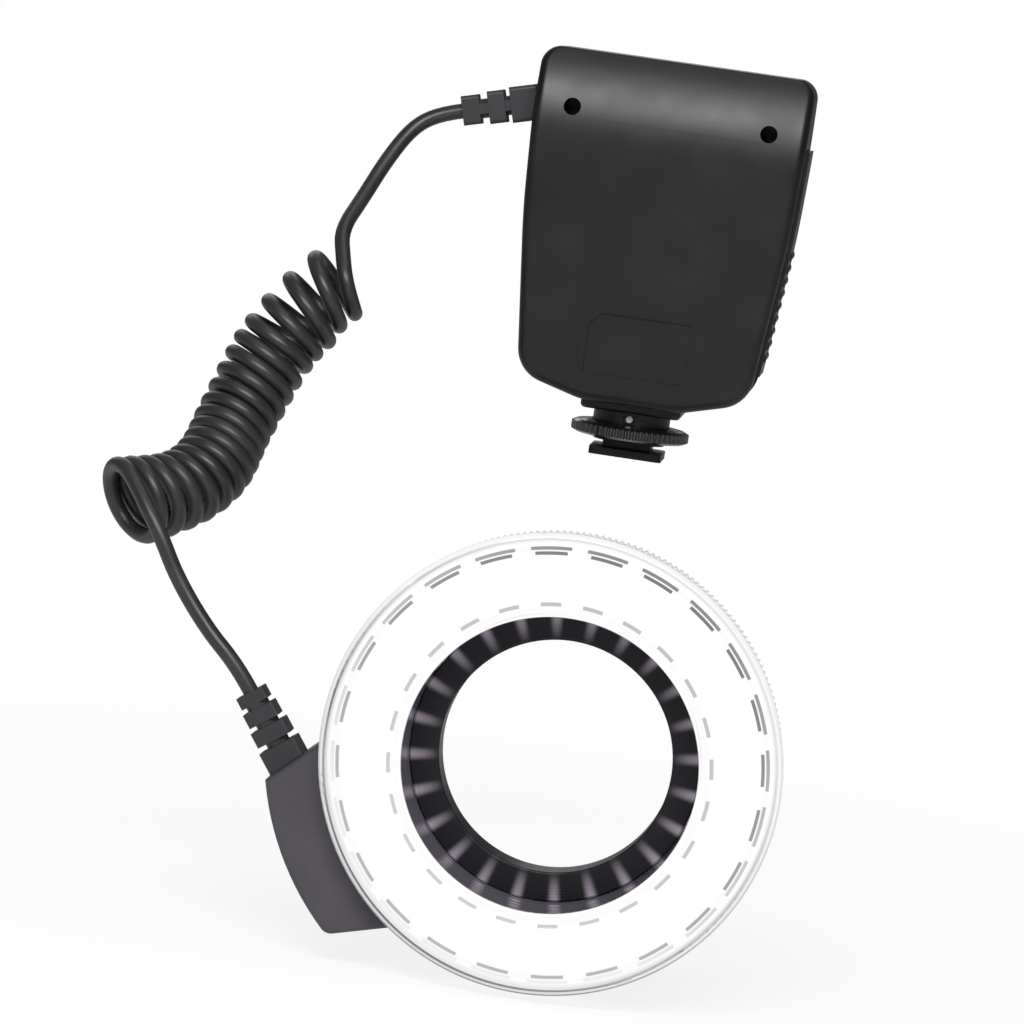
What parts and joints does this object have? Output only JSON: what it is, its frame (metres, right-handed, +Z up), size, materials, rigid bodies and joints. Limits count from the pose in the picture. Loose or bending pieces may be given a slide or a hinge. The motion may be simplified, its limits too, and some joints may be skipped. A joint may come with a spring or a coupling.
{
  "type": "macro ring flash",
  "caption": "Ring of lamps with a clear cover and screw-in adapter, joined by a curly cord to a battery control unit on a shoe foot.",
  "frame": {"origin": "centre of the underside of the control unit's shoe foot", "axes": "+Z up through the unit, -Y the way the lamps point, +X to the right as seen from in front of the lamps"},
  "size_m": [0.1755, 0.1362, 0.2218],
  "materials": {
    "shell_black": "fine matt texture",
    "door_black": "fine matt texture",
    "ring_black": "satin",
    "window_clear": "polished",
    "display_grey": "satin",
    "button_grey": "matt",
    "slider_black": "ribbed, matt",
    "steel": "plain",
    "contact_metal": "polished",
    "spring_steel": "bright",
    "cell_sleeve": "gloss",
    "board_green": "satin",
    "tray_black": "matt",
    "foot_black": "satin",
    "wheel_black": "satin",
    "cord_black": "matt",
    "relief_black": "matt",
    "cover_clear": "polished",
    "led_lit": "clear, lit",
    "reflector_white": "white, satin",
    "adapter_black": "black anodised",
    "board_white": "white solder mask",
    "peg_white": "satin",
    "black_steel": "black, satin",
    "latch_black": "satin"
  },
  "bodies": {
    "control_unit": {"front_shell": "shell_black", "rear_shell": "shell_black", "shell_screws": "black_steel", "battery_tray": "tray_black", "battery_cells": "cell_sleeve", "cell_springs": "spring_steel", "cell_contact_strips": "contact_metal", "main_board": "board_green", "button_board": "board_green", "display_module": "display_grey", "display_window": "window_clear", "foot_base": "foot_black", "index_peg": "peg_white", "foot_plate": "black_steel", "foot_screws": "steel", "contact_springs": "spring_steel", "contact_carrier": "tray_black", "unit_strain_relief": "relief_black", "cord_upper_lead": "cord_black", "cord_coil": "cord_black", "cord_lower_lead": "cord_black"},
    "door_carriage": {"door_pin": "steel"},
    "battery_door": {"battery_door": "door_black", "door_contacts": "contact_metal"},
    "clamp_washer": {"clamp_washer": "black_steel"},
    "lock_wheel": {"lock_wheel": "wheel_black"},
    "contact_pins": {"contact_pins": "contact_metal"},
    "mode_button": {"mode_button": "button_grey"},
    "minus_button": {"minus_button": "button_grey"},
    "plus_button": {"plus_button": "button_grey"},
    "lamp_button": {"lamp_button": "button_grey"},
    "test_button": {"test_button": "button_grey"},
    "power_slider": {"power_slider": "slider_black"},
    "ring_head": {"ring_housing": "ring_black", "front_cover": "cover_clear", "rear_cover": "ring_black", "rear_screws": "steel", "grip_rim": "cover_clear", "led_board": "board_white", "outer_leds": "led_lit", "inner_leds": "led_lit", "reflector": "reflector_white", "ring_strain_relief": "relief_black", "left_latch_springs": "spring_steel", "right_latch_springs": "spring_steel"},
    "adapter": {"adapter_ring": "adapter_black"},
    "left_latch": {"left_latch": "latch_black"},
    "right_latch": {"right_latch": "latch_black"}
  },
  "joints": [
    {"name": "door_slide", "type": "slide", "parent": "control_unit", "child": "door_carriage", "axis": [0, 0, -1], "range_m": [0, 0.003]},
    {"name": "door_hinge", "type": "hinge", "parent": "door_carriage", "child": "battery_door", "pos_m": [0.0287, -0.00235, 0.0262], "axis": [0, 1, 0], "range_deg": [0, 110]},
    {"name": "washer_travel", "type": "slide", "parent": "control_unit", "child": "clamp_washer", "axis": [0, 0, 1], "range_m": [0, 0.0015]},
    {"name": "wheel_turn", "type": "hinge", "parent": "clamp_washer", "child": "lock_wheel", "pos_m": [0, 0, 0.0064], "axis": [0, 0, 1], "range_deg": [0, 540]},
    {"name": "contact_press", "type": "slide", "parent": "control_unit", "child": "contact_pins", "axis": [0, 0, 1], "range_m": [0, 0.0006], "stiffness_N_per_m": 500, "springref_m": -0.0008, "deforming": ["contact_springs"]},
    {"name": "mode_button_press", "type": "slide", "parent": "control_unit", "child": "mode_button", "axis": [0, -1, 0], "range_m": [0, 0.0006], "stiffness_N_per_m": 800, "springref_m": -0.0008},
    {"name": "minus_button_press", "type": "slide", "parent": "control_unit", "child": "minus_button", "axis": [0, -1, 0], "range_m": [0, 0.0006], "stiffness_N_per_m": 800, "springref_m": -0.0008},
    {"name": "plus_button_press", "type": "slide", "parent": "control_unit", "child": "plus_button", "axis": [0, -1, 0], "range_m": [0, 0.0006], "stiffness_N_per_m": 800, "springref_m": -0.0008},
    {"name": "lamp_button_press", "type": "slide", "parent": "control_unit", "child": "lamp_button", "axis": [0, -1, 0], "range_m": [0, 0.0006], "stiffness_N_per_m": 800, "springref_m": -0.0008},
    {"name": "test_button_press", "type": "slide", "parent": "control_unit", "child": "test_button", "axis": [0, -1, 0], "range_m": [0, 0.0006], "stiffness_N_per_m": 800, "springref_m": -0.0008},
    {"name": "power_slide", "type": "slide", "parent": "control_unit", "child": "power_slider", "axis": [1, 0, 0], "range_m": [0, 0.005]},
    {"name": "head_reach", "type": "slide", "parent": "control_unit", "child": "ring_head", "axis": [0, -1, 0], "range_m": [-0.02, 0.05], "deforming": ["cord_lower_lead"]},
    {"name": "adapter_turn", "type": "hinge", "parent": "ring_head", "child": "adapter", "pos_m": [0, -0.102, -0.065], "axis": [0, 1, 0], "continuous": true},
    {"name": "left_latch_release", "type": "slide", "parent": "ring_head", "child": "left_latch", "axis": [-1, 0, 0], "range_m": [0, 0.0012], "stiffness_N_per_m": 600, "springref_m": -0.001, "deforming": ["left_latch_springs"]},
    {"name": "right_latch_release", "type": "slide", "parent": "ring_head", "child": "right_latch", "axis": [1, 0, 0], "range_m": [0, 0.0012], "stiffness_N_per_m": 600, "springref_m": -0.001, "deforming": ["right_latch_springs"]}
  ],
  "couplings": [
    {"joint": "wheel_turn", "follows": "washer_travel", "rad_per_m": 6283.2}
  ]
}
